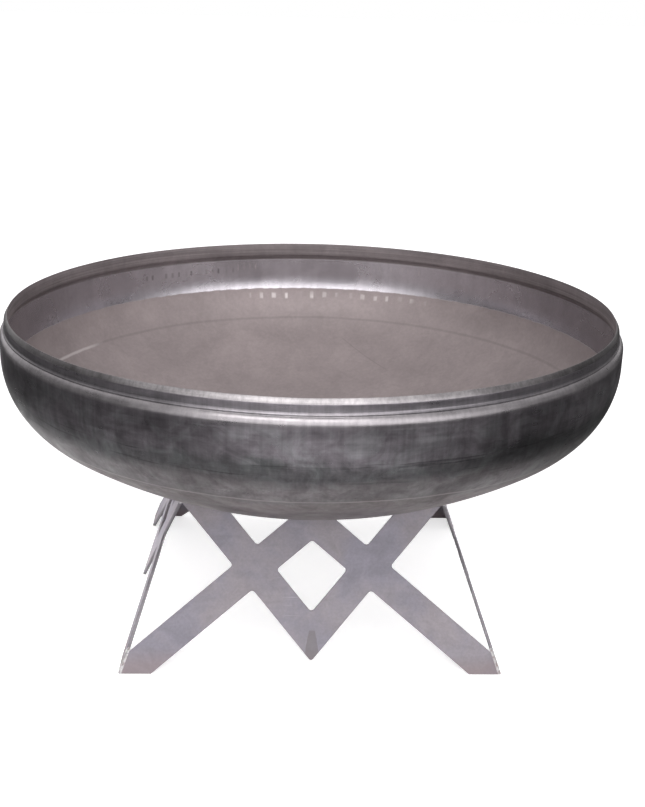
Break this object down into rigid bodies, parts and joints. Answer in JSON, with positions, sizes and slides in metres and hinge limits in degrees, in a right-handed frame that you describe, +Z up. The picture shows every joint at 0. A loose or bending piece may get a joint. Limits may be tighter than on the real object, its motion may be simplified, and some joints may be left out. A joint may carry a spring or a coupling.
{
  "type": "fire bowl",
  "caption": "Open steel fire bowl with a set-in rim, resting loose in the cut tops of a welded, inward-leaning lattice plate base.",
  "frame": {"origin": "on the floor, under the middle of the bowl and of the square base", "axes": "+Z up along the bowl's axis; -Y is the front plate's side; X and Y run square to the base plates"},
  "size_m": [0.9143, 0.9144, 0.4708],
  "materials": {
    "base_steel": "raw laser-cut mild steel plate, matte, light purple-grey with stains",
    "weld_metal": "bare weld bead, silvery",
    "bowl_steel": "raw spun mild steel with mill scale, semi-gloss, smudged"
  },
  "bodies": {
    "base": {"base_plate_front": "base_steel", "base_plate_right": "base_steel", "base_plate_back": "base_steel", "base_plate_left": "base_steel", "foot_weld_front_left": "weld_metal", "foot_weld_front_right": "weld_metal", "foot_weld_back_right": "weld_metal", "foot_weld_back_left": "weld_metal", "top_weld_front_left": "weld_metal", "top_weld_front_right": "weld_metal", "top_weld_back_right": "weld_metal", "top_weld_back_left": "weld_metal"},
    "bowl": {"bowl": "bowl_steel"}
  },
  "joints": [
    {"name": "bowl_lift", "type": "slide", "parent": "base", "child": "bowl", "axis": [0, 0, 1], "range_m": [0, 0.25]}
  ]
}
